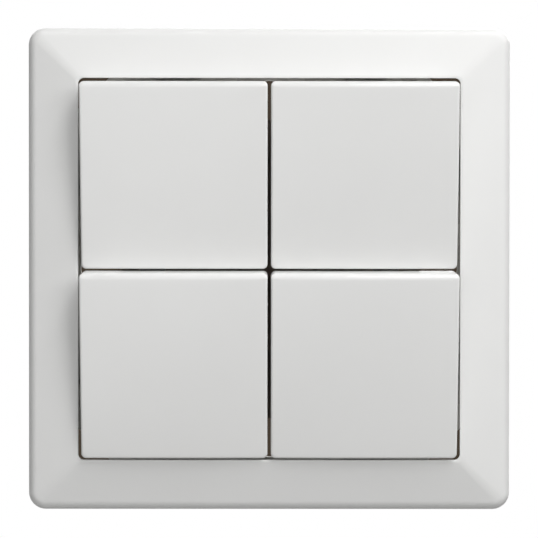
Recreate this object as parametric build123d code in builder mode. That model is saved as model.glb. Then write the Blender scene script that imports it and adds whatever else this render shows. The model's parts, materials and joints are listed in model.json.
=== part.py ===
from build123d import *

import os
from math import cos, isclose, radians, sin, tan

# A flush wall switch with four rocker keys, two by two, in one square cover frame.
# Millimetres. X is to the right, Z is up, the wall is at Y = 0 and the room is towards -Y.
# A height is measured out from the wall, and a depth is measured into it.
# All four rockers rest with the top edge out and the bottom edge in.

# Layout of the four gangs
key_pitch = 32.6
key_gap = 0.6
frame_gap = 0.5
rocker_tilt = 6.0
pivot_height = 7.5
pivot_setback = 3.6
running_clearance = 0.05
seat_clearance = 0.1

# Cover frame
frame_size = 84.0
frame_rim_height = 7.1
frame_height = 9.0
frame_corner_radius = 3.0
frame_mitre_radius = 3.5
frame_rim_radius = 2.0
frame_wall = 1.8
frame_lip = 0.4
opening_corner_radius = 1.0
collar_wall = 1.6
collar_back_height = 4.6
frame_rib_thickness = 0.9
frame_rib_spacing = 29.0
frame_rib_back_height = 2.6

# Snap tongues of the cover frame, two on each side
tongue_spread = 17.0
tongue_width = 8.0
tongue_end_clearance = 0.4
barb_height = 1.4
barb_reach = 0.6
barb_width = 5.0

# Support plate
plate_thickness = 1.0
plate_corner = 9.0
tab_gap = 0.25
tab_height = 4.0
box_screw_spacing = 60.0
box_slot_width = 4.0
box_slot_length = 7.0

# Keys
key_depth = 4.8
key_wall = 1.4
key_face = 1.5
key_edge_radius = 0.8
key_rib_thickness = 0.9
key_rib_height = 1.4
key_rib_offset = 11.5
clip_width = 6.0
clip_thickness = 1.0
clip_barb = 0.6

# Dollies, the levers that carry the keys
hub_width = 13.0
hub_height = 4.4
hub_back = 1.8
platform_length = 15.0
platform_thickness = 1.2
trunnion_radius = 1.2
stem_size = 5.6
stem_length = 9.4
bore_floor = 1.4

# Plungers and their springs
plunger_size = 3.0
plunger_reach = 11.2
plunger_guide = 3.8
nose_width = 0.8
nose_length = 1.4
spring_wire = 0.4
spring_turns = 3
spring_steps = 8

# Mechanism cover with the bearing posts
cover_thickness = 2.4
cover_margin = 1.1
cover_corner = 7.0
post_thickness = 2.0
post_width = 5.0
post_lip = 0.9
post_mouth = 0.85
post_play = 0.4
window_clearance = 0.6

# Contact seesaws
seesaw_swing = 8.0
seesaw_width = 4.4
seesaw_arm = 4.3
seesaw_thickness = 1.0
seesaw_corner = 0.7
knife_radius = 0.45
knife_bevel = 0.3
contact_arm = 3.1
contact_size = 2.2
contact_height = 0.6
contact_clearance = 0.03

# Terminals and busbar
strip_thickness = 0.8
strip_bend_radius = 1.0
terminal_offset = 7.2
terminal_width = 3.0
terminal_plate_width = 9.0
terminal_plate_depth = 12.2
terminal_end_room = 0.25
bus_depth = 10.0
bus_spine_width = 6.0
bus_arm_width = 3.0
line_row = 6.5

# Wire clamps and entries
wire_pitch = 4.6
entry_size = 3.2
entry_funnel = 0.5
release_width = 1.4
release_web = 0.5
clamp_thickness = 0.35
clamp_width = 3.8
clamp_room = 5.0
clamp_tip_gap = 0.25
clamp_tip_depth = 14.6
clamp_fold = 0.6
clamp_rib_thickness = 1.0

# Housing
housing_depth = 22.0
housing_wall = 1.5
housing_back = 1.8
housing_end_room = 1.2
housing_corner_room = 0.7
divider_thickness = 1.5
stop_width = 3.0
stop_thickness = 1.4

# Screws that hold the mechanism cover to the housing
screw_radius = 1.2
screw_length = 12.0
screw_head_radius = 2.2
screw_head_height = 1.3
boss_radius = 2.2
boss_wall_inset = 2.8

# Sizes that follow from the ones above
key_size = key_pitch - key_gap
gang_offset = key_pitch / 2
opening_size = key_pitch + key_size + 2 * frame_gap
slope_run = (frame_size - opening_size) / 2 - frame_lip
slope_rise = frame_height - frame_rim_height
cavity_size = frame_size - 2 * frame_wall
cavity_height = frame_height - frame_wall
collar_size = opening_size + 2 * collar_wall
tab_inner = collar_size / 2 + tab_gap
plate_size = 2 * (tab_inner + plate_thickness)
tongue_back_height = plate_thickness + tongue_end_clearance
cover_height = plate_thickness + cover_thickness
post_middle = hub_width / 2 + post_play + post_thickness / 2
cover_size = 2 * (gang_offset + post_middle + post_thickness / 2 + cover_margin)
stem_swing = pivot_height * sin(radians(rocker_tilt))
platform_front = pivot_setback - key_face
platform_back = platform_front - platform_thickness
bore_size = plunger_size + 2 * running_clearance
plunger_top = stem_length - plunger_guide
knife_depth = plunger_reach - pivot_height + running_clearance + seesaw_thickness
groove_radius = knife_radius + running_clearance
swing_tangent = tan(radians(seesaw_swing))
fixed_contact_depth = (
    knife_depth
    + (contact_arm + contact_size / 2) * sin(radians(seesaw_swing))
    + contact_height * cos(radians(seesaw_swing))
    + contact_clearance
)
strip_depth = fixed_contact_depth + contact_height + strip_thickness / 2
bus_back_depth = bus_depth + strip_thickness
bay_depth = housing_depth - housing_back
terminal_end_depth = bay_depth - terminal_end_room
bay_size = 2 * (gang_offset + seesaw_arm + housing_end_room)
housing_size = bay_size + 2 * housing_wall
bay_corner = bay_size - (2 * gang_offset + seesaw_arm + seesaw_width / 2 + housing_corner_room)
housing_corner = bay_corner + housing_wall * (2 - 2 ** 0.5)
screw_offset = housing_size / 2 - boss_wall_inset
terminal_face = gang_offset - terminal_offset
line_face = bus_spine_width / 2

gangs = {
    "upper_left": (-1, 1),
    "upper_right": (1, 1),
    "lower_left": (-1, -1),
    "lower_right": (1, -1),
}
gang_centres = [(side * gang_offset, row * gang_offset) for side, row in gangs.values()]
screw_places = [(-screw_offset, 0), (screw_offset, 0)]
frame_sides = [Plane.XY.rotated((0, turn, 0)) for turn in (0, 90, 180, 270)]

# Each wire place is its clamping face, the way that the wire lies from that face, and its row
wire_places = [
    (side * terminal_face, side, row * gang_offset + step * wire_pitch / 2)
    for side, row in gangs.values()
    for step in (-1, 1)
]
wire_places += [(line_face, 1, line_row + step * wire_pitch / 2) for step in (-1, 1)]


def facing_plane(x, y, z, turn):
    """A plane that faces the room, turned about X: a positive turn brings its top edge out."""
    front = (0, -cos(radians(turn)), -sin(radians(turn)))
    return Plane(origin=(x, y, z), x_dir=(1, 0, 0), z_dir=front)


os.makedirs("parts", exist_ok=True)

# The hollow behind the cover frame's face: it follows the slopes at the wall's thickness.
with BuildPart() as frame_hollow:
    with BuildSketch(Plane.XZ):
        Rectangle(cavity_size, cavity_size)
    extrude(amount=cavity_height)
    hollow_front = frame_hollow.faces().sort_by(Axis.Y)[0]
    cavity_run = (cavity_size - collar_size) / 2
    chamfer(hollow_front.edges(), cavity_run, slope_rise, reference=hollow_front)

# Cover frame: a moulded square frame whose face slopes up from a low rim to the opening.
# Behind it are a collar round the keys, snap tongues with barbs, and thin ribs.
with BuildPart() as cover_frame:
    with BuildSketch(Plane.XZ):
        Rectangle(frame_size, frame_size)
    extrude(amount=frame_height)
    frame_front = cover_frame.faces().sort_by(Axis.Y)[0]
    chamfer(frame_front.edges(), slope_run, slope_rise, reference=frame_front)
    fillet(cover_frame.edges().filter_by(Axis.Y), frame_corner_radius)
    straight_edges = cover_frame.edges().filter_by(GeomType.LINE)
    mitres = straight_edges.filter_by(lambda edge: isclose(abs(edge.center().X), abs(edge.center().Z)))
    fillet(mitres, frame_mitre_radius)
    rim_rise = frame_corner_radius * slope_rise / slope_run
    rim = cover_frame.edges().filter_by_position(Axis.Y, -frame_rim_height - rim_rise, -frame_rim_height)
    fillet(rim, frame_rim_radius)
    add(frame_hollow.part, mode=Mode.SUBTRACT)

    with BuildSketch(Plane.XZ.offset(collar_back_height)):
        Rectangle(collar_size, collar_size)
    extrude(amount=cavity_height - collar_back_height)

    rib_outer = cavity_size / 2
    for side_plane in frame_sides:
        for place in (-frame_rib_spacing, frame_rib_spacing):
            with BuildSketch(side_plane.offset(place)):
                with BuildLine():
                    Polyline(
                        (collar_size / 2, -frame_rib_back_height),
                        (rib_outer, -frame_rib_back_height),
                        (rib_outer, slope_rise - cavity_height),
                        (collar_size / 2, -cavity_height),
                        (collar_size / 2, -collar_back_height),
                        close=True,
                    )
                make_face()
            extrude(amount=frame_rib_thickness / 2, both=True)

    with BuildSketch(Plane.XZ):
        RectangleRounded(opening_size, opening_size, opening_corner_radius)
    extrude(amount=frame_height, mode=Mode.SUBTRACT)

    for side_plane in frame_sides:
        for place in (-tongue_spread, tongue_spread):
            with BuildSketch(side_plane.offset(place)):
                with BuildLine():
                    Polyline(
                        (opening_size / 2, -collar_back_height),
                        (opening_size / 2, -tongue_back_height),
                        (collar_size / 2, -tongue_back_height),
                        (collar_size / 2, -collar_back_height),
                        close=True,
                    )
                make_face()
            extrude(amount=tongue_width / 2, both=True)
            with BuildSketch(side_plane.offset(place)):
                with BuildLine():
                    Polyline(
                        (collar_size / 2, -tongue_back_height),
                        (collar_size / 2 + barb_reach, -tongue_back_height - barb_height),
                        (collar_size / 2, -tongue_back_height - barb_height),
                        close=True,
                    )
                make_face()
            extrude(amount=barb_width / 2, both=True)
cover_frame.part.label = "cover_frame"
export_step(cover_frame.part, "parts/cover_frame.step")

# Support plate: stamped steel, with slots for the box screws and tabs bent out for the frame's barbs.
with BuildPart() as support_plate:
    with BuildSketch(Plane.XZ) as blank:
        Rectangle(plate_size, plate_size)
        chamfer(blank.vertices(), plate_corner)
    extrude(amount=plate_thickness)
    with BuildSketch(Plane.XZ) as mechanism_opening:
        Rectangle(bay_size, bay_size)
        chamfer(mechanism_opening.vertices(), bay_corner)
    extrude(amount=plate_thickness, mode=Mode.SUBTRACT)
    with BuildSketch(Plane.XZ):
        with PolarLocations(box_screw_spacing / 2, 4):
            SlotOverall(box_slot_length, box_slot_width)
    extrude(amount=plate_thickness, mode=Mode.SUBTRACT)
    for side_plane in frame_sides:
        for place in (-tongue_spread, tongue_spread):
            with BuildSketch(side_plane.offset(place)):
                with Locations((tab_inner + plate_thickness / 2, -plate_thickness - tab_height / 2)):
                    Rectangle(plate_thickness, tab_height)
            extrude(amount=tongue_width / 2, both=True)
            catch_height = barb_height + tongue_end_clearance
            with BuildSketch(side_plane.offset(place)):
                with Locations((tab_inner + plate_thickness / 2, -tongue_back_height - catch_height / 2)):
                    Rectangle(plate_thickness, catch_height)
            extrude(amount=barb_width / 2 + seat_clearance, both=True, mode=Mode.SUBTRACT)
support_plate.part.label = "support_plate"
export_step(support_plate.part, "parts/support_plate.step")

# Mechanism cover: a moulded plate in front of the support plate, with a window for each stem
# and two snap-in bearing posts for each dolly.
with BuildPart() as mechanism_cover:
    with BuildSketch(Plane.XZ.offset(plate_thickness)) as cover_outline:
        Rectangle(cover_size, cover_size)
        chamfer(cover_outline.vertices(), cover_corner)
    extrude(amount=cover_thickness)
    with BuildSketch(Plane.XZ.offset(plate_thickness)):
        with Locations(*gang_centres):
            window_width = stem_size + 2 * window_clearance
            Rectangle(window_width, window_width + 2 * stem_swing)
    extrude(amount=cover_thickness, mode=Mode.SUBTRACT)
    with BuildSketch(Plane.XZ.offset(cover_height)):
        with Locations(*gang_centres):
            with Locations((-post_middle, 0), (post_middle, 0)):
                Rectangle(post_thickness, post_width)
    extrude(amount=pivot_height + post_lip - cover_height)
    with BuildSketch(Plane.YZ):
        with Locations((-pivot_height, -gang_offset), (-pivot_height, gang_offset)):
            Circle(trunnion_radius + running_clearance)
            with Locations((-post_lip / 2, 0)):
                Rectangle(post_lip, 2 * trunnion_radius * post_mouth)
    extrude(amount=cover_size / 2, both=True, mode=Mode.SUBTRACT)
    with BuildSketch(Plane.XZ.offset(plate_thickness)):
        with Locations(*screw_places):
            Circle(screw_radius + seat_clearance)
    extrude(amount=cover_thickness, mode=Mode.SUBTRACT)
    with BuildSketch(Plane.XZ.offset(cover_height - screw_head_height)):
        with Locations(*screw_places):
            Circle(screw_head_radius + seat_clearance)
    extrude(amount=screw_head_height, mode=Mode.SUBTRACT)
mechanism_cover.part.label = "mechanism_cover"
export_step(mechanism_cover.part, "parts/mechanism_cover.step")

# Housing: a moulded tub behind the wall. Low dividers part it into four bays and carry the busbar.
# The back wall has funnelled wire entries, each with a slot for the release blade.
with BuildPart() as housing:
    with BuildSketch(Plane.XZ.offset(-housing_depth)) as tub_outline:
        Rectangle(housing_size, housing_size)
        chamfer(tub_outline.vertices(), housing_corner)
    extrude(amount=housing_depth)
    with BuildSketch(Plane.XZ.offset(-bay_depth)) as tub_inside:
        Rectangle(bay_size, bay_size)
        chamfer(tub_inside.vertices(), bay_corner)
    extrude(amount=bay_depth, mode=Mode.SUBTRACT)
    with BuildSketch(Plane.XZ.offset(-bay_depth)):
        Rectangle(divider_thickness, bay_size)
        Rectangle(bay_size, divider_thickness)
    extrude(amount=bay_depth - bus_back_depth)
    with BuildSketch(Plane.XZ.offset(-bay_depth)):
        with Locations(*screw_places):
            Circle(boss_radius)
    extrude(amount=bay_depth)

    # Stops behind the upper end of each seesaw
    stop_reach = seesaw_arm - stop_thickness / 2
    stop_depth = knife_depth + seesaw_arm * swing_tangent + seat_clearance
    with BuildSketch(Plane.XZ.offset(-bay_depth)):
        with Locations(*gang_centres):
            with Locations((0, stop_reach)):
                Rectangle(stop_width, stop_thickness)
    extrude(amount=bay_depth - stop_depth)

    # Ribs that back the clamp springs
    with BuildSketch(Plane.XZ.offset(-bay_depth)):
        for face, way, row in wire_places:
            with Locations((face + way * (clamp_room + clamp_rib_thickness / 2), row)):
                Rectangle(clamp_rib_thickness, wire_pitch)
    extrude(amount=bay_depth - terminal_plate_depth)

    with BuildSketch(Plane.XZ):
        with Locations(*screw_places):
            Circle(screw_radius + running_clearance / 2)
    extrude(amount=plate_thickness - screw_length, mode=Mode.SUBTRACT)

    with BuildSketch(Plane.XZ.offset(-housing_depth)):
        for face, way, row in wire_places:
            with Locations((face + way * entry_size / 2, row)):
                Rectangle(entry_size, entry_size)
            with Locations((face + way * (entry_size + release_web + release_width / 2), row)):
                Rectangle(release_width, entry_size)
    extrude(amount=housing_back, mode=Mode.SUBTRACT)
    back_face = housing.faces().sort_by(Axis.Y)[-1]
    entries = back_face.inner_wires().sort_by(SortBy.LENGTH)[-len(wire_places):]
    chamfer([edge for entry in entries for edge in entry.edges()], entry_funnel / 2)
housing.part.label = "housing"
export_step(housing.part, "parts/housing.step")

# Housing screws: two screws through the mechanism cover into the housing's bosses.
with BuildPart() as housing_screws:
    with BuildSketch(Plane.XZ.offset(cover_height - screw_head_height)):
        with Locations(*screw_places):
            Circle(screw_head_radius)
    extrude(amount=screw_head_height)
    with BuildSketch(Plane.XZ.offset(cover_height - screw_head_height)):
        with Locations(*screw_places):
            Circle(screw_radius)
    extrude(amount=-screw_length)
housing_screws.part.label = "housing_screws"
export_step(housing_screws.part, "parts/housing_screws.step")

# Common busbar: a brass stamping on the dividers. A bevelled knife edge stands up under each seesaw,
# and one edge of the spine is bent back as the clamping face of the line terminal.
with BuildPart() as common_busbar:
    with BuildSketch(Plane.XZ.offset(-bus_back_depth)):
        arm_span = 2 * gang_offset
        Rectangle(bus_spine_width, arm_span)
        with Locations((0, -gang_offset), (0, gang_offset)):
            Rectangle(arm_span + seesaw_width, bus_arm_width)
    extrude(amount=strip_thickness)
    for x, z in gang_centres:
        with BuildSketch(Plane.YZ.offset(x)):
            with BuildLine():
                Polyline(
                    (bus_depth, z - knife_radius),
                    (knife_depth, z - knife_radius),
                    (knife_depth - knife_bevel, z - knife_radius + knife_bevel),
                    (knife_depth - knife_bevel, z + knife_radius - knife_bevel),
                    (knife_depth, z + knife_radius),
                    (bus_depth, z + knife_radius),
                    close=True,
                )
            make_face()
        extrude(amount=seesaw_width / 2, both=True)
    with BuildSketch(Plane.XZ.offset(-terminal_end_depth)):
        with Locations((line_face - strip_thickness / 2, line_row)):
            Rectangle(strip_thickness, terminal_plate_width)
    extrude(amount=terminal_end_depth - bus_depth)
common_busbar.part.label = "common_busbar"
export_step(common_busbar.part, "parts/common_busbar.step")

# Wire clamp springs: folded steel leaves whose free leg points at the clamping face.
with BuildPart() as wire_clamp_springs:
    for face, way, row in wire_places:
        rib_side = face + way * (clamp_room - clamp_thickness / 2 - running_clearance)
        tip = face + way * (clamp_tip_gap + clamp_thickness / 2)
        with BuildSketch(Plane.XY.offset(row)):
            with BuildLine():
                Polyline(
                    (rib_side, terminal_plate_depth),
                    (rib_side, terminal_end_depth - clamp_fold),
                    (rib_side - way * clamp_fold, terminal_end_depth - clamp_thickness),
                    (tip, clamp_tip_depth),
                )
            trace(line_width=clamp_thickness)
        extrude(amount=clamp_width / 2, both=True)
wire_clamp_springs.part.label = "wire_clamp_springs"
export_step(wire_clamp_springs.part, "parts/wire_clamp_springs.step")

# Fixed contact tips: pads welded on the tongues of the output terminals.
with BuildPart() as fixed_contacts:
    with BuildSketch(Plane.XZ.offset(-fixed_contact_depth)):
        with Locations(*[(x, z - contact_arm) for x, z in gang_centres]):
            Rectangle(contact_size, contact_size)
    extrude(amount=-contact_height)
fixed_contacts.part.label = "fixed_contacts"
export_step(fixed_contacts.part, "parts/fixed_contacts.step")

for gang, (side, row) in gangs.items():
    gang_x = side * gang_offset
    gang_z = row * gang_offset
    rocker = facing_plane(gang_x, -pivot_height, gang_z, rocker_tilt)
    rocker_axis = Axis(rocker.origin, rocker.z_dir)
    seesaw = facing_plane(gang_x, knife_depth, gang_z, -seesaw_swing)

    # Key: a shallow moulded cap with a rounded edge, thin ribs inside and two clips for the dolly.
    with BuildPart() as key:
        skirt_plane = rocker.offset(pivot_setback - key_depth)
        with BuildSketch(skirt_plane):
            Rectangle(key_size, key_size)
        extrude(amount=key_depth)
        key_front = key.faces().sort_by(rocker_axis)[-1]
        fillet(key.edges().filter_by(rocker_axis) + key_front.edges(), key_edge_radius)
        inside_size = key_size - 2 * key_wall
        with BuildSketch(skirt_plane):
            Rectangle(inside_size, inside_size)
        extrude(amount=key_depth - key_face, mode=Mode.SUBTRACT)
        with BuildSketch(rocker.offset(platform_front - key_rib_height)):
            with Locations((-key_rib_offset, 0), (key_rib_offset, 0)):
                Rectangle(key_rib_thickness, inside_size)
            with Locations((0, -key_rib_offset), (0, key_rib_offset)):
                Rectangle(inside_size, key_rib_thickness)
        extrude(amount=key_rib_height)
        clip_back = platform_back - seat_clearance - clip_thickness
        clip_middle = platform_length / 2 + seat_clearance + clip_thickness / 2
        with BuildSketch(rocker.offset(clip_back)):
            with Locations((0, -clip_middle), (0, clip_middle)):
                Rectangle(clip_width, clip_thickness)
        extrude(amount=platform_front - clip_back)
        with BuildSketch(rocker.offset(clip_back)):
            with Locations((0, clip_barb - clip_middle), (0, clip_middle - clip_barb)):
                Rectangle(clip_width, clip_thickness)
        extrude(amount=clip_thickness)
    key.part.label = f"key_{gang}"
    export_step(key.part, f"parts/key_{gang}.step")

    # Dolly: a moulded lever with two trunnions, a platform for the key and a tube for the plunger.
    with BuildPart() as dolly:
        with BuildSketch(rocker.offset(platform_back)):
            Rectangle(hub_width, platform_length)
        extrude(amount=platform_thickness)
        with BuildSketch(rocker.offset(-hub_back)):
            Rectangle(hub_width, hub_height)
        extrude(amount=hub_back + platform_back)
        with BuildSketch(rocker.offset(-stem_length)):
            Rectangle(stem_size, stem_size)
        extrude(amount=stem_length)
        with BuildSketch(Plane.YZ.offset(gang_x)):
            with Locations((-pivot_height, gang_z)):
                Circle(trunnion_radius)
        extrude(amount=post_middle + post_thickness / 2 + post_play, both=True)
        with BuildSketch(rocker.offset(-stem_length)):
            Rectangle(bore_size, bore_size)
        extrude(amount=stem_length - bore_floor, mode=Mode.SUBTRACT)
    dolly.part.label = f"dolly_{gang}"
    export_step(dolly.part, f"parts/dolly_{gang}.step")

    # Plunger: a square moulded pin with a wedge nose that slides in the dolly's tube.
    with BuildPart() as plunger:
        with BuildSketch(Plane(rocker.origin, x_dir=rocker.y_dir, z_dir=rocker.x_dir)):
            with BuildLine():
                Polyline(
                    (-plunger_size / 2, -plunger_top),
                    (-plunger_size / 2, nose_length - plunger_reach),
                    (-nose_width / 2, -plunger_reach),
                    (nose_width / 2, -plunger_reach),
                    (plunger_size / 2, nose_length - plunger_reach),
                    (plunger_size / 2, -plunger_top),
                    close=True,
                )
            make_face()
        extrude(amount=plunger_size / 2, both=True)
    plunger.part.label = f"plunger_{gang}"
    export_step(plunger.part, f"parts/plunger_{gang}.step")

    # Plunger spring: a coil of square wire between the floor of the tube and the plunger,
    # bent in short straight steps.
    with BuildPart() as plunger_spring:
        coil_clearance = spring_wire / 2 + running_clearance
        coil_length = plunger_top - bore_floor - 2 * coil_clearance
        with BuildLine() as wire:
            coil = Helix(
                pitch=coil_length / spring_turns,
                height=coil_length,
                radius=plunger_size / 2 - spring_wire,
                center=rocker.offset(coil_clearance - plunger_top).origin,
                direction=rocker.z_dir,
                mode=Mode.PRIVATE,
            )
            step_count = spring_turns * spring_steps
            Polyline(*[coil @ (step / step_count) for step in range(step_count + 1)])
        wire_start = wire.line % 0
        with BuildSketch(Plane(origin=coil @ 0, x_dir=rocker.z_dir.cross(wire_start), z_dir=wire_start)):
            Rectangle(spring_wire, spring_wire)
        sweep(transition=Transition.RIGHT)
    plunger_spring.part.label = f"plunger_spring_{gang}"
    export_step(plunger_spring.part, f"parts/plunger_spring_{gang}.step")

    # Contact seesaw: a copper strip with a groove that rocks on the busbar's knife edge.
    with BuildPart() as contact_seesaw:
        with BuildSketch(seesaw) as strip:
            Rectangle(seesaw_width, 2 * seesaw_arm)
            chamfer(strip.vertices(), seesaw_corner)
        extrude(amount=seesaw_thickness)
        with BuildSketch(Plane.YZ.offset(gang_x)):
            with Locations((knife_depth, gang_z)):
                Circle(groove_radius)
        extrude(amount=seesaw_width, both=True, mode=Mode.SUBTRACT)
    contact_seesaw.part.label = f"contact_seesaw_{gang}"
    export_step(contact_seesaw.part, f"parts/contact_seesaw_{gang}.step")

    # Moving contact: a silver pad welded under the lower end of the seesaw.
    with BuildPart() as moving_contact:
        with BuildSketch(seesaw.offset(-contact_height)):
            with Locations((0, -contact_arm)):
                Rectangle(contact_size, contact_size)
        extrude(amount=contact_height)
    moving_contact.part.label = f"moving_contact_{gang}"
    export_step(moving_contact.part, f"parts/moving_contact_{gang}.step")

    # Output terminal: a brass strip with a tongue for the fixed contact, bent back to a clamping plate.
    with BuildPart() as output_terminal:
        leg_x = side * (terminal_face - strip_thickness / 2)
        tongue_end = side * (gang_offset + terminal_width / 2)
        tongue_row = gang_z - contact_arm
        with BuildSketch(Plane.XY.offset(tongue_row)):
            with BuildLine():
                FilletPolyline(
                    (tongue_end, strip_depth),
                    (leg_x, strip_depth),
                    (leg_x, terminal_end_depth),
                    radius=strip_bend_radius,
                )
            trace(line_width=strip_thickness)
        extrude(amount=terminal_width / 2, both=True)
        with BuildSketch(Plane.XZ.offset(-terminal_end_depth)):
            with Locations((leg_x, gang_z)):
                Rectangle(strip_thickness, terminal_plate_width)
        extrude(amount=terminal_end_depth - terminal_plate_depth)
    output_terminal.part.label = f"output_terminal_{gang}"
    export_step(output_terminal.part, f"parts/output_terminal_{gang}.step")
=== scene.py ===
import json
from math import cos, radians, sin, tan

import bpy
import numpy as np
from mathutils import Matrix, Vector


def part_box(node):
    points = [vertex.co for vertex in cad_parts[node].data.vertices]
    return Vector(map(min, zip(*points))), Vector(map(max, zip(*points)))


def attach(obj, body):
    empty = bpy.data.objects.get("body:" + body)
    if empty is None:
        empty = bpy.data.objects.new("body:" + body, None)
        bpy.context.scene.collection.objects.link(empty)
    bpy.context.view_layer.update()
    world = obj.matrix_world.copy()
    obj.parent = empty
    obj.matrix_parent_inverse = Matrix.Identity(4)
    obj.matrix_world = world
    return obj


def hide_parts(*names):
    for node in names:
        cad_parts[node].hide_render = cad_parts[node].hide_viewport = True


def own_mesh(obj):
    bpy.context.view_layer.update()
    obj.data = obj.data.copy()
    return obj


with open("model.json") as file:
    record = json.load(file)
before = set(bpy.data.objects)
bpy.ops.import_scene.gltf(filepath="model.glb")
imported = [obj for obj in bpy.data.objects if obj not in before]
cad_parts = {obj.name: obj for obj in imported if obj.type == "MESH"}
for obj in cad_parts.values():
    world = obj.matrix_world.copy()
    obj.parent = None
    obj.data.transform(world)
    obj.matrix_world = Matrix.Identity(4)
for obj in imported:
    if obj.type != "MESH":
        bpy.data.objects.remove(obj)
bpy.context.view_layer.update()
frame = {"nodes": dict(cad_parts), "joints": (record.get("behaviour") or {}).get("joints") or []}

# The wall switch: four rocker keys, two by two, in one square cover frame, with the working parts behind.
# Metres. X is to the right, Z is up, the wall is at Y = 0 and the room is towards -Y.
# A height is measured out from the wall.

# Support plate: a blank of zinc-plated sheet steel, stamped and bent in one stroke.
# Two box screws hold it on the wall, and everything else is carried by it.
mm = 0.001
zinc_pale = (0.47, 0.46, 0.435, 1.0)
zinc_warm = (0.39, 0.378, 0.35, 1.0)
zinc_spangle = 1.6 * mm
zinc_roughness = (0.45, 0.60)
zinc_grain = 0.12 * mm
zinc_grain_stretch = (8.0, 1.0, 1.0)
zinc_grain_depth = 0.004 * mm


def new_finish(name, metallic=0.0, roughness=0.5):
    """A new node material, its node tree and its shader."""
    material = bpy.data.materials.new(name)
    material.use_nodes = True
    tree = material.node_tree
    shader = tree.nodes["Principled BSDF"]
    shader.inputs["Metallic"].default_value = metallic
    shader.inputs["Roughness"].default_value = roughness
    return material, tree, shader


def add_node(tree, kind, links=(), **values):
    """A node of the kind, with its properties or sockets set, and sockets linked to the given outputs."""
    node = tree.nodes.new(kind)
    for name, value in values.items():
        if hasattr(node, name):
            setattr(node, name, value)
        else:
            node.inputs[name.replace("_", " ")].default_value = value
    for socket, output in links:
        tree.links.new(output, node.inputs[socket])
    return node


def add_bump(tree, shader, height, depth):
    """Relief of the given depth from a height between 0 and 1."""
    bump = add_node(tree, "ShaderNodeBump", [("Height", height)], Distance=depth, Strength=1.0)
    tree.links.new(bump.outputs["Normal"], shader.inputs["Normal"])


def add_ramp(tree, factor, low, high, span=(0.0, 1.0)):
    """Blends from the low to the high colour as the factor goes over the span."""
    ramp = add_node(tree, "ShaderNodeValToRGB", [("Fac", factor)])
    for stop, place, colour in zip(ramp.color_ramp.elements, span, (low, high)):
        stop.position = place
        stop.color = colour
    return ramp.outputs["Color"]


def add_range(tree, factor, low, high, span=(0.0, 1.0)):
    """Maps the factor from the span onto low to high."""
    node = add_node(
        tree, "ShaderNodeMapRange", [("Value", factor)],
        From_Min=span[0], From_Max=span[1], To_Min=low, To_Max=high,
    )
    return node.outputs["Result"]


def object_noise(tree, size, detail=2.0, stretch=(1.0, 1.0, 1.0)):
    """Noise on Object coordinates, with features about size across that are drawn out by the stretch."""
    place = add_node(tree, "ShaderNodeTexCoord").outputs["Object"]
    mapping = add_node(tree, "ShaderNodeMapping", [("Vector", place)])
    mapping.inputs["Scale"].default_value = [1.0 / (size * share) for share in stretch]
    noise = add_node(
        tree, "ShaderNodeTexNoise", [("Vector", mapping.outputs["Vector"])], Detail=detail, Scale=1.0,
    )
    return noise.outputs["Fac"]


def zinc_plating():
    """Spangled plating: flat cells that differ a little in colour and gloss, over a fine rolled grain."""
    material, tree, shader = new_finish("zinc_plating", metallic=1.0)
    place = add_node(tree, "ShaderNodeTexCoord").outputs["Object"]
    cells = add_node(tree, "ShaderNodeTexVoronoi", [("Vector", place)], Scale=1.0 / zinc_spangle)
    tone = add_node(tree, "ShaderNodeSeparateColor", [("Color", cells.outputs["Color"])]).outputs["Red"]
    tree.links.new(add_ramp(tree, tone, zinc_pale, zinc_warm), shader.inputs["Base Color"])
    tree.links.new(add_range(tree, tone, *zinc_roughness), shader.inputs["Roughness"])
    add_bump(tree, shader, object_noise(tree, zinc_grain, stretch=zinc_grain_stretch), zinc_grain_depth)
    return material


def dress(node, material):
    """Gives a CAD node its material."""
    node_object = frame["nodes"][node]
    node_object.data.materials.clear()
    node_object.data.materials.append(material)


dress("support_plate", zinc_plating())

# Housing: a tub moulded in light grey, flame-resistant plastic, that hangs behind the wall in the box.
# Its back shows the wire entries and the slots for the release blade.
housing_grey = (0.50, 0.51, 0.51, 1.0)
housing_grey_dull = (0.46, 0.47, 0.47, 1.0)
housing_roughness = (0.42, 0.55)
housing_grain = 0.25 * mm
housing_grain_depth = 0.012 * mm
cloud_size = 9.0 * mm


def moulded_plastic(name, colour, dull_colour, roughness, grain, grain_depth):
    """Plastic as it leaves the mould: a faint cloud in the colour and gloss, and the mould's own grain."""
    material, tree, shader = new_finish(name)
    cloud = object_noise(tree, cloud_size, detail=1.0)
    tree.links.new(add_ramp(tree, cloud, colour, dull_colour), shader.inputs["Base Color"])
    tree.links.new(add_range(tree, cloud, *roughness), shader.inputs["Roughness"])
    add_bump(tree, shader, object_noise(tree, grain), grain_depth)
    return material


dress("housing", moulded_plastic(
    "housing_moulding", housing_grey, housing_grey_dull, housing_roughness,
    housing_grain, housing_grain_depth,
))

# Conductors: strips of brass and copper, stamped and bent, that lie in the housing's bays.
# Steel leaves clamp the wires, and silver pads are welded on where the contacts meet.
gangs = ("upper_left", "upper_right", "lower_left", "lower_right")
brass_bright = (0.78, 0.60, 0.28, 1.0)
brass_dull = (0.62, 0.45, 0.20, 1.0)
copper_bright = (0.80, 0.45, 0.30, 1.0)
copper_dull = (0.62, 0.32, 0.20, 1.0)
silver_bright = (0.82, 0.80, 0.76, 1.0)
silver_dull = (0.70, 0.67, 0.62, 1.0)
steel_bright = (0.60, 0.60, 0.61, 1.0)
steel_dull = (0.48, 0.48, 0.50, 1.0)
strip_roughness = (0.24, 0.40)
stain_size = 3.0 * mm
stain_span = (0.3, 0.7)
rolling_line = 0.08 * mm
rolling_stretch = (1.0, 12.0, 1.0)
rolling_depth = 0.003 * mm


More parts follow.
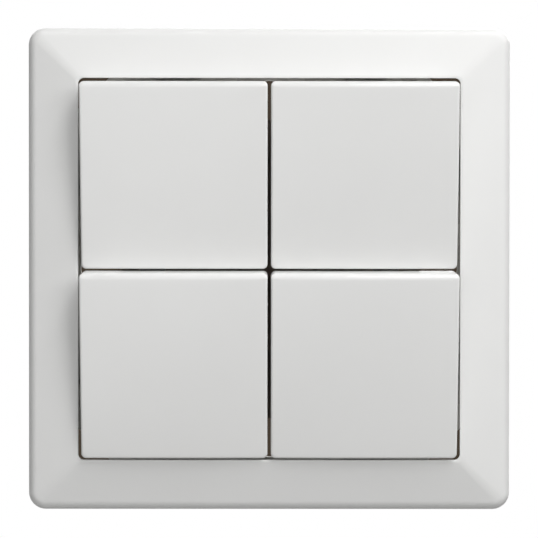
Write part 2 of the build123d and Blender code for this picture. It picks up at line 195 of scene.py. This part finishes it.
def rolled_strip(name, bright, dull, roughness=strip_roughness):
    """Metal strip: fine relief along the rolling way, and a thin stain in the colour and gloss."""
    material, tree, shader = new_finish(name, metallic=1.0)
    stain = object_noise(tree, stain_size, detail=4.0)
    tree.links.new(add_ramp(tree, stain, bright, dull, stain_span), shader.inputs["Base Color"])
    tree.links.new(add_range(tree, stain, *roughness, stain_span), shader.inputs["Roughness"])
    add_bump(tree, shader, object_noise(tree, rolling_line, stretch=rolling_stretch), rolling_depth)
    return material


brass = rolled_strip("brass_strip", brass_bright, brass_dull)
copper = rolled_strip("copper_strip", copper_bright, copper_dull)
silver = rolled_strip("contact_silver", silver_bright, silver_dull)
spring_steel = rolled_strip("spring_steel", steel_bright, steel_dull)
dress("common_busbar", brass)
dress("fixed_contacts", silver)
dress("wire_clamp_springs", spring_steel)
for gang in gangs:
    dress(f"output_terminal_{gang}", brass)
    dress(f"contact_seesaw_{gang}", copper)
    dress(f"moving_contact_{gang}", silver)

# Mechanism cover: a plate moulded in dark, glass-filled plastic that closes the housing.
# Two steel screws hold it, and its posts are the bearings of the rockers.
cover_dark = (0.23, 0.175, 0.13, 1.0)
cover_dark_dull = (0.20, 0.15, 0.11, 1.0)
cover_roughness = (0.45, 0.62)
cover_grain = 0.2 * mm
cover_grain_depth = 0.015 * mm
screw_grey = (0.20, 0.19, 0.18, 1.0)
screw_grey_dull = (0.15, 0.145, 0.14, 1.0)
screw_roughness = (0.45, 0.60)

dress("mechanism_cover", moulded_plastic(
    "cover_moulding", cover_dark, cover_dark_dull, cover_roughness, cover_grain, cover_grain_depth,
))
dress("housing_screws", rolled_strip("screw_steel", screw_grey, screw_grey_dull, screw_roughness))

# Rocker works: a dolly of slippery white plastic turns in the posts, with a plunger on a spring in its tube.
# The plunger's nose slides along the seesaw and tips it.
dolly_white = (0.72, 0.71, 0.67, 1.0)
dolly_white_dull = (0.68, 0.67, 0.63, 1.0)
plunger_natural = (0.80, 0.78, 0.70, 1.0)
plunger_natural_dull = (0.77, 0.75, 0.67, 1.0)
works_roughness = (0.36, 0.46)
works_grain = 0.15 * mm
works_grain_depth = 0.006 * mm

dolly_finish = moulded_plastic(
    "dolly_moulding", dolly_white, dolly_white_dull, works_roughness, works_grain, works_grain_depth,
)
plunger_finish = moulded_plastic(
    "plunger_moulding", plunger_natural, plunger_natural_dull, works_roughness,
    works_grain, works_grain_depth,
)
for gang in gangs:
    dress(f"dolly_{gang}", dolly_finish)
    dress(f"plunger_{gang}", plunger_finish)

# Cover frame: one moulding in warm white plastic whose face slopes up from a low rim to the opening.
# Behind it a collar runs round the keys, with ribs, and with barbed tongues that snap into the plate.
# The face lies a little lower than the plain solid's, so that the keys' lower edges stand clear of it too.
frame_low, frame_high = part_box("cover_frame")
frame_half = frame_high.x
face_sink = 0.7 * mm
frame_height = -frame_low.y - face_sink
solid_rim_height = 7.1 * mm
rim_height = solid_rim_height - face_sink
rim_radius = 2.0 * mm
corner_radius = 3.0 * mm
frame_wall = 1.8 * mm
frame_lip = 0.4 * mm
lip_radius = 0.1 * mm
key_low, key_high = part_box("key_upper_right")
frame_gap = 0.62 * mm
opening_half = key_high.x + frame_gap
opening_radius = 1.0 * mm
opening_draft = tan(radians(8.0))
collar_reach = 2.1 * mm
collar_half = key_high.x + collar_reach
collar_back = 4.6 * mm
rib_half_thickness = 0.45 * mm
rib_place = 29.0 * mm
rib_back = 2.6 * mm
tongue_place = 17.0 * mm
tongue_half_width = 4.0 * mm
tongue_back = 1.4 * mm
barb_half_width = 2.5 * mm
barb_height = 1.4 * mm
barb_reach = 0.6 * mm
cavity_half = frame_half - frame_wall
cavity_height = frame_height - frame_wall
slope_angle = np.arctan2(frame_height - rim_height, frame_half - opening_half - frame_lip)

frame_white = (0.80, 0.80, 0.79, 1.0)
frame_white_dull = (0.785, 0.785, 0.775, 1.0)
frame_roughness = (0.46, 0.54)
frame_grain = 0.22 * mm
frame_grain_depth = 0.004 * mm


def line(start, end, steps):
    """Evenly spaced points from start to end, both included."""
    return np.linspace(start, end, steps + 1)


def arc(centre, radius, start, end, steps):
    """Points on a circle about the centre, from the start to the end angle, counted from the first axis."""
    angle = np.linspace(start, end, steps + 1)[:, None]
    return np.asarray(centre) + radius * np.hstack((np.cos(angle), np.sin(angle)))


def square_path(corner_steps, side_steps):
    """The way round a rounded square, as two arrays of vectors A and B: a square with half side h and corner
    radius r has its points at A (h - r) + B r. On an arc A is the corner and B turns through a right angle;
    on a side A goes from corner to corner and B stays square to the side."""
    turn = np.linspace(0.0, np.pi / 2, corner_steps + 1)
    share = np.linspace(0.0, 1.0, side_steps + 1)[1:-1, None]
    corner = np.array([1.0, 1.0])
    middle, spread = [], []
    for quarter in range(4):
        next_corner = np.array([-corner[1], corner[0]])
        angle = quarter * np.pi / 2 + turn
        normal = np.array([np.cos(angle[-1]), np.sin(angle[-1])])
        middle += [np.tile(corner, (len(turn), 1)), corner + share * (next_corner - corner)]
        spread += [np.column_stack((np.cos(angle), np.sin(angle))), np.tile(normal, (len(share), 1))]
        corner = next_corner
    return np.vstack(middle), np.vstack(spread)


def carried_round(half, radius, height, path, closed):
    """A profile carried round a rounded square: row i is the square of half side half[i] and corner radius
    radius[i] at height[i], each one value or one for every step of the way. Points are (across, up, height).
    A closed profile joins its ends, and a fan fills either end of an open one."""
    middle, spread = path
    rows, columns = len(half), len(middle)
    half, radius, height = (
        np.broadcast_to(np.reshape(values, (rows, -1)), (rows, columns)) for values in (half, radius, height)
    )
    flat = middle * (half - radius)[..., None] + spread * radius[..., None]
    points = np.dstack((flat, height)).reshape(-1, 3)
    row = np.arange(rows if closed else rows - 1)[:, None]
    column = np.arange(columns)[None]
    after, beside = (row + 1) % rows, (column + 1) % columns
    corners = (row, column), (row, beside), (after, beside), (after, column)
    faces = np.stack([at * columns + to for at, to in corners], axis=-1).reshape(-1, 4).tolist()
    if not closed:
        for end, order in ((0, -1), (rows - 1, 1)):
            ring = end * columns + np.arange(columns)
            tip = np.full(columns, len(points))
            points = np.vstack((points, [0.0, 0.0, height[end, 0]]))
            faces += np.stack((ring, np.roll(ring, -1), tip), axis=-1)[:, ::order].tolist()
    return points, faces


def prism(outline, half_thickness):
    """A flat outline in two axes, pushed out by half its thickness to both sides along a third one."""
    count = len(outline)
    step = np.arange(count)
    after = (step + 1) % count
    points = np.vstack([
        np.column_stack((outline, np.full(count, side * half_thickness))) for side in (-1, 1)
    ])
    sides = np.stack((step, after, after + count, step + count), axis=-1).tolist()
    return points, sides + [step[::-1].tolist(), (step + count).tolist()]


def joined(shells):
    """Several shells of points and faces as one: the faces of each count on from the points before it."""
    shell_points, shell_faces = zip(*shells)
    starts = np.cumsum([0] + [len(points) for points in shell_points])
    faces = [np.add(face, start).tolist() for start, some in zip(starts, shell_faces) for face in some]
    return np.vstack(shell_points), faces


def new_piece(name, shell, material, crease=35.0):
    """A mesh object at the origin, smooth except where it turns by more than the crease angle in degrees."""
    points, faces = shell
    mesh = bpy.data.meshes.new(name)
    mesh.from_pydata(points.tolist(), [], faces)
    mesh.validate()
    mesh.polygons.foreach_set("use_smooth", np.ones(len(mesh.polygons), bool))
    mesh.set_sharp_from_angle(angle=radians(crease))
    mesh.materials.append(material)
    piece = bpy.data.objects.new(name, mesh)
    bpy.context.scene.collection.objects.link(piece)
    return piece


def drafted(height):
    """The point of the opening's wall at a height: it leans outwards behind the lip, as the mould needs."""
    return opening_half + opening_draft * (frame_height - lip_radius - height), height


def frame_profile():
    """The frame's section as points (half side, height), from the wall up over the rim and the slope to the
    opening, down the drafted collar, and back under the slope. Arcs round the rim and both lip edges."""
    to_slope = np.pi / 2 - slope_angle
    rim_start = rim_height - rim_radius * tan(to_slope / 2)
    rim_arc = arc((frame_half - rim_radius, rim_start), rim_radius, 0.0, to_slope, steps=12)
    shoulder = (opening_half + frame_lip + lip_radius * tan(slope_angle / 2), frame_height - lip_radius)
    shoulder_arc = arc(shoulder, lip_radius, to_slope, np.pi / 2, steps=3)
    lip = (opening_half + lip_radius, frame_height - lip_radius)
    lip_arc = arc(lip, lip_radius, np.pi / 2, np.pi, steps=6)
    slope = line(rim_arc[-1], shoulder_arc[0], steps=24)[1:-1]
    return np.vstack((
        line((frame_half, 0.0), rim_arc[0], steps=6)[:-1],
        rim_arc,
        slope,
        shoulder_arc,
        lip_arc,
        line(lip_arc[-1], drafted(collar_back), steps=4)[1:],
        (collar_half, collar_back),
        (collar_half, cavity_height),
        (cavity_half, cavity_height - frame_height + rim_height),
        (cavity_half, 0.0),
    ))


def on_wall(points):
    """From (across, up, height) to the row frame, where the height goes towards the room."""
    return points @ np.array([[1.0, 0.0, 0.0], [0.0, 0.0, 1.0], [0.0, -1.0, 0.0]])


def on_sides(shell, places):
    """A shell made for the right side, as (outwards, height, along), set at each place of all four sides."""
    copies = []
    for quarter in range(4):
        cosine, sine = cos(quarter * np.pi / 2), sin(quarter * np.pi / 2)
        for place in places:
            out, height, along = shell[0].T + np.array([[0.0], [0.0], [place]])
            across, up = out * cosine + along * sine, out * sine - along * cosine
            copies.append((np.column_stack((across, up, height)), shell[1]))
    return joined(copies)


half, height = frame_profile().T
rim_run = rim_radius * (1.0 - sin(slope_angle))
radius = np.interp(
    half,
    (opening_half, frame_half - rim_run, frame_half),
    (opening_radius, corner_radius - rim_run, corner_radius),
)
frame_path = square_path(corner_steps=14, side_steps=30)
frame_skin = carried_round(half, radius, height, frame_path, closed=True)
tongue = prism(np.array([
    drafted(collar_back),
    drafted(tongue_back),
    (collar_half, tongue_back),
    (collar_half, collar_back),
]), tongue_half_width)
barb = prism(np.array([
    (collar_half, tongue_back),
    (collar_half + barb_reach, tongue_back + barb_height),
    (collar_half, tongue_back + barb_height),
]), barb_half_width)
rib = prism(np.array([
    (collar_half, rib_back),
    (cavity_half, rib_back),
    (cavity_half, cavity_height - frame_height + rim_height),
    (collar_half, cavity_height),
]), rib_half_thickness)
frame_points, frame_faces = joined((
    frame_skin,
    on_sides(joined((tongue, barb)), (-tongue_place, tongue_place)),
    on_sides(rib, (-rib_place, rib_place)),
))
frame_finish = moulded_plastic(
    "frame_moulding", frame_white, frame_white_dull, frame_roughness, frame_grain, frame_grain_depth,
)
frame_piece = new_piece("cover_frame_moulding", (on_wall(frame_points), frame_faces), frame_finish)
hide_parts("cover_frame")
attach(frame_piece, "base")

# Keys: four shallow caps moulded in the same white, a little glossier, with a faintly domed face.
# The edge is fine at the sides and below, and rounder at the top.
# Each is clipped on its dolly, and has thin ribs inside.
pivots = {joint["name"]: Vector(joint["pos_m"]) for joint in frame["joints"] if joint["type"] == "hinge"}
key_half = (key_high.x - key_low.x) / 2
key_setback = 3.6 * mm
key_depth = 4.8 * mm
key_wall = 1.4 * mm
key_face = 1.5 * mm
key_edge = 0.4 * mm
key_top_edge = 1.2 * mm
key_corner = 0.8 * mm
key_crown = 0.55 * mm
key_inner_radius = 0.3 * mm
key_inner_half = key_half - key_wall
key_ceiling = key_setback - key_face
key_skirt = key_setback - key_depth
key_middle = 0.2 * mm
key_rib_half = 0.45 * mm
key_rib_height = 1.4 * mm
key_rib_place = 11.5 * mm
clip_half_width = 3.0 * mm
clip_back = -0.2 * mm
clip_middle = 8.1 * mm
clip_half_thickness = 0.5 * mm
clip_barb = 0.6 * mm
rocker_tilt = radians(6.0)

key_white = (0.81, 0.81, 0.80, 1.0)
key_white_dull = (0.795, 0.795, 0.785, 1.0)
key_roughness = (0.24, 0.28)
key_grain = 0.3 * mm
key_grain_depth = 0.0015 * mm


def key_profile(edge):
    """A key's section as half sides and heights from its pivot, with a column for each edge radius. It goes
    from the middle of the ceiling inside, down the inner wall, under the skirt, up the outer wall, round the
    edge as a quarter circle, and in to the middle of the face."""
    turn = line(0.0, np.pi / 2, steps=12)[:, None]
    edge_half = key_half - edge * (1.0 - np.cos(turn))
    edge_height = key_setback - edge * (1.0 - np.sin(turn))
    stretches = (
        (line(key_middle, key_inner_half, steps=4)[:, None], key_ceiling),
        (key_inner_half, key_skirt),
        (key_half, line(key_skirt, edge_height[0], steps=4)[:-1]),
        (edge_half, edge_height),
        (line(edge_half[-1], key_middle, steps=20)[1:], key_setback),
    )
    rows = [np.broadcast_arrays(halves, heights, edge[None])[:2] for halves, heights in stretches]
    return [np.vstack(values) for values in zip(*rows)]


def crowned(points):
    """Raises the face into a shallow dome, which falls with the square of the way from the middle: half the
    crown there, nothing half way along an edge, less in the corners. It fades out down the rounded edge."""
    across, up, height = points.T
    dome = key_crown / 2 * (1.0 - (across ** 2 + up ** 2) / key_half ** 2)
    share = np.clip((height - key_setback) / key_top_edge + 1.0, 0.0, 1.0)
    return np.column_stack((across, up, height + dome * share))


def bar(across, up, low, high, half_across, half_up):
    """A straight bar between two heights, as a prism about its middle."""
    outline = np.array([(-1, -1), (1, -1), (1, 1), (-1, 1)]) * (half_across, half_up)
    points, faces = prism(outline, (high - low) / 2)
    return points + np.array([across, up, (low + high) / 2]), faces


def rocked(points, pivot, tilt):
    """From a key's own (across, up, height) to the row frame, turned about its pivot, top edge out."""
    across, up, height = points.T
    return np.column_stack((
        pivot.x + across,
        pivot.y - height * cos(tilt) - up * sin(tilt),
        pivot.z - height * sin(tilt) + up * cos(tilt),
    ))


key_path = square_path(corner_steps=12, side_steps=16)
facing_up = np.clip(key_path[1][:, 1], 0.0, 1.0)
half, height = key_profile(key_edge + (key_top_edge - key_edge) * facing_up ** 2)
inside = (half <= key_inner_half) & (height <= key_ceiling)
radius = np.minimum(np.where(inside, key_inner_radius, key_corner), half)
cap_points, cap_faces = carried_round(half, radius, height, key_path, closed=False)
key_cap = crowned(cap_points), cap_faces
rib_low = key_ceiling - key_rib_height
key_shells = [key_cap]
for side in (-1, 1):
    key_shells += [
        bar(side * key_rib_place, 0.0, rib_low, key_ceiling, key_rib_half, key_inner_half),
        bar(0.0, side * key_rib_place, rib_low, key_ceiling, key_inner_half, key_rib_half),
        bar(0.0, side * clip_middle, clip_back, key_ceiling, clip_half_width, clip_half_thickness),
        bar(0.0, side * (clip_middle - clip_barb), clip_back, clip_back + 2 * clip_half_thickness,
            clip_half_width, clip_half_thickness),
    ]
key_points, key_faces = joined(key_shells)
key_finish = moulded_plastic(
    "key_moulding", key_white, key_white_dull, key_roughness, key_grain, key_grain_depth,
)
for gang in gangs:
    key_piece = new_piece(
        f"key_cap_{gang}", (rocked(key_points, pivots[f"rock_{gang}"], rocker_tilt), key_faces), key_finish,
    )
    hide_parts(f"key_{gang}")
    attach(key_piece, f"rocker_{gang}")

# Plunger springs: a coil of round steel wire in each dolly's tube, between the tube's floor and the plunger.
# It rides with the dolly. The real one gets shorter as the plunger is pressed in; this one is made at one
# length.
tube_floor = -1.4 * mm
plunger_end = -5.6 * mm
wire_radius = 0.2 * mm
coil_radius = 1.1 * mm
coil_turns = 3
coil_end_play = 0.1 * mm
coil_clearance = wire_radius + coil_end_play


def coil(radius, back, front, turns, wire, turn_steps=24, wire_steps=10):
    """A helix of round wire as (across, up, height). Its middle line turns about the height axis and climbs
    evenly from back to front. Its section is a circle square to that line, and a flat face ends it."""
    angle = np.linspace(0.0, 2 * np.pi * turns, turn_steps * turns + 1)[:, None]
    section = np.linspace(0.0, 2 * np.pi, wire_steps, endpoint=False)[None]
    climb = (front - back) / (2 * np.pi * turns)
    outwards = radius + wire * np.cos(section)
    along = wire * np.sin(section) / np.hypot(radius, climb)
    points = np.dstack((
        outwards * np.cos(angle) + along * climb * np.sin(angle),
        outwards * np.sin(angle) - along * climb * np.cos(angle),
        back + climb * angle + along * radius,
    )).reshape(-1, 3)
    row = np.arange(len(angle) - 1)[:, None] * wire_steps
    column = np.arange(wire_steps)
    beside = (column + 1) % wire_steps
    after = row + wire_steps
    corners = (row, column), (after, column), (after, beside), (row, beside)
    quads = np.stack([at + to for at, to in corners], axis=-1).reshape(-1, 4).tolist()
    return points, quads + [column.tolist(), (len(points) - 1 - column).tolist()]


coil_points, coil_faces = coil(
    coil_radius, plunger_end + coil_clearance, tube_floor - coil_clearance, coil_turns, wire_radius,
)
for gang in gangs:
    pivot = pivots[f"rock_{gang}"]
    spring_piece = new_piece(
        f"spring_coil_{gang}", (rocked(coil_points, pivot, rocker_tilt), coil_faces), spring_steel,
        crease=60.0,
    )
    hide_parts(f"plunger_spring_{gang}")
    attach(spring_piece, f"rocker_{gang}")
    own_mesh(spring_piece)

# Floor: a wide, pale matt sheet some way below the switch.
# It runs out into the white of the room, so that no edge of it shows.
floor_drop = 0.4
floor_half = 1.5
floor_fade = (0.5, 1.4)
floor_pale = (0.40, 0.40, 0.395, 1.0)
floor_lift = 0.48
room_white = (1.0, 1.0, 1.0, 1.0)


def seen_directly(tree):
    """1 for camera rays and for those that show the room in gloss or glass, and 0 for all other light."""
    rays = add_node(tree, "ShaderNodeLightPath")
    seen = rays.outputs["Is Camera Ray"]
    for kind in ("Is Glossy Ray", "Is Transmission Ray"):
        either = add_node(tree, "ShaderNodeMath", operation="MAXIMUM")
        tree.links.new(seen, either.inputs[0])
        tree.links.new(rays.outputs[kind], either.inputs[1])
        seen = either.outputs["Value"]
    return seen


floor_paint, tree, shader = new_finish("floor_paint", roughness=0.9)
shader.inputs["Base Color"].default_value = floor_pale
shader.inputs["Emission Color"].default_value = room_white
lift = add_range(tree, seen_directly(tree), 0.0, floor_lift)
tree.links.new(lift, shader.inputs["Emission Strength"])
place = add_node(tree, "ShaderNodeTexCoord").outputs["Object"]
level = add_node(tree, "ShaderNodeVectorMath", [("Vector", place)], operation="MULTIPLY")
level.inputs[1].default_value = (1.0, 1.0, 0.0)
reach = add_node(tree, "ShaderNodeVectorMath", [("Vector", level.outputs["Vector"])], operation="LENGTH")
fade = add_node(tree, "ShaderNodeMath", operation="MULTIPLY")
tree.links.new(add_range(tree, reach.outputs["Value"], 0.0, 1.0, floor_fade), fade.inputs[0])
tree.links.new(seen_directly(tree), fade.inputs[1])
white = add_node(tree, "ShaderNodeEmission", Color=room_white, Strength=1.0)
blended = add_node(tree, "ShaderNodeMixShader", [("Fac", fade.outputs["Value"])])
tree.links.new(shader.outputs["BSDF"], blended.inputs[1])
tree.links.new(white.outputs["Emission"], blended.inputs[2])
tree.links.new(blended.outputs["Shader"], tree.nodes["Material Output"].inputs["Surface"])
floor_corners = np.array([(-1.0, -1.0, 0.0), (1.0, -1.0, 0.0), (1.0, 1.0, 0.0), (-1.0, 1.0, 0.0)])
floor_points = floor_corners * floor_half - (0.0, 0.0, floor_drop)
floor = new_piece("floor", (floor_points, [(0, 1, 2, 3)]), floor_paint)

# Painted shade: a flat ring round the housing, behind the plate, glowing dark brown to the camera from the
# room.
# It shows only through the slits round the keys, painting their shade, and takes no part in the light.
box_half = 40.0 * mm
box_depth = 0.4 * mm
box_clearance = 0.05 * mm
# The dark brown of the painted shade that the slits show.
painted_shade_brown = (0.060, 0.046, 0.034, 1.0)

painted_shade_finish, tree = new_finish("painted_shade_finish")[:2]
dark = add_node(tree, "ShaderNodeEmission", Color=painted_shade_brown, Strength=1.0)
rays = add_node(tree, "ShaderNodeLightPath")
behind = add_node(tree, "ShaderNodeNewGeometry").outputs["Backfacing"]
from_room = add_node(tree, "ShaderNodeMath", operation="SUBTRACT", use_clamp=True)
tree.links.new(rays.outputs["Is Camera Ray"], from_room.inputs[0])
tree.links.new(behind, from_room.inputs[1])
clear = add_node(tree, "ShaderNodeBsdfTransparent")
mixed = add_node(tree, "ShaderNodeMixShader", [("Fac", from_room.outputs["Value"])])
tree.links.new(clear.outputs["BSDF"], mixed.inputs[1])
tree.links.new(dark.outputs["Emission"], mixed.inputs[2])
tree.links.new(mixed.outputs["Shader"], tree.nodes["Material Output"].inputs["Surface"])
hole_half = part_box("housing")[1].x + box_clearance
corners = np.array([(-1.0, 0.0, -1.0), (1.0, 0.0, -1.0), (1.0, 0.0, 1.0), (-1.0, 0.0, 1.0)])
ring = np.vstack((corners * box_half, corners * hole_half)) + (0.0, box_depth, 0.0)
side = np.arange(4)
after = (side + 1) % 4
ring_faces = np.column_stack((side, after, after + 4, side + 4)).tolist()
shade = new_piece("painted_shade_ring", (ring, ring_faces), painted_shade_finish)

# Room: white all round to the eye, with hardly any light of its own.
# Metal shows the white too, and nearly all the light on the switch comes from the lamps.
room_light = 0.03

world = bpy.data.worlds.new("room")
bpy.context.scene.world = world
world.use_nodes = True
tree = world.node_tree
room = tree.nodes["Background"]
room.inputs["Color"].default_value = room_white
room.inputs["Strength"].default_value = room_light
backdrop = add_node(tree, "ShaderNodeBackground", Color=room_white, Strength=1.0)
mixed = add_node(tree, "ShaderNodeMixShader", [("Fac", seen_directly(tree))])
tree.links.new(room.outputs["Background"], mixed.inputs[1])
tree.links.new(backdrop.outputs["Background"], mixed.inputs[2])
tree.links.new(mixed.outputs["Shader"], tree.nodes["World Output"].inputs["Surface"])

# Light and camera: the main soft lamp is above and to the right, with a second one lower on that side.
# A broad weak one is in front and to the left, and one behind lights the back.
# The camera stands straight in front, a little above the middle.
view_point = Vector((0.0, -9.0 * mm, 0.0))


def soft_lamp(name, place, size, power):
    """A round, evenly bright lamp that faces the switch."""
    lamp_data = bpy.data.lights.new(name, "AREA")
    lamp_data.shape = "DISK"
    lamp_data.size = size
    lamp_data.energy = power
    lamp = bpy.data.objects.new(name, lamp_data)
    lamp.location = place
    lamp.rotation_euler = (view_point - lamp.location).to_track_quat("-Z", "Y").to_euler()
    bpy.context.scene.collection.objects.link(lamp)


soft_lamp("key_lamp", place=(0.20, -0.30, 0.50), size=0.30, power=2.43)
soft_lamp("side_lamp", place=(0.40, -0.45, 0.25), size=0.36, power=1.54)
soft_lamp("fill_lamp", place=(-0.30, -0.70, 0.0), size=0.70, power=1.72)
soft_lamp("rear_lamp", place=(0.20, 0.60, 0.35), size=0.60, power=3.6)

camera_place = Vector((-0.44 * mm, -245.0 * mm, 2.06 * mm))
camera_lens = 91.88
camera_pitch = radians(-0.4925)
camera_roll = radians(-0.0458)
camera_turn = radians(-0.0959)
camera_data = bpy.data.cameras.new("photo_camera")
camera_data.lens = camera_lens
camera_data.sensor_width = 36.0
camera_data.clip_start = 0.01
camera = bpy.data.objects.new("photo_camera", camera_data)
camera.location = camera_place
camera.rotation_euler = (radians(90.0) + camera_pitch, camera_roll, camera_turn)
bpy.context.scene.collection.objects.link(camera)
bpy.context.scene.camera = camera
bpy.context.scene.view_settings.view_transform = "Standard"
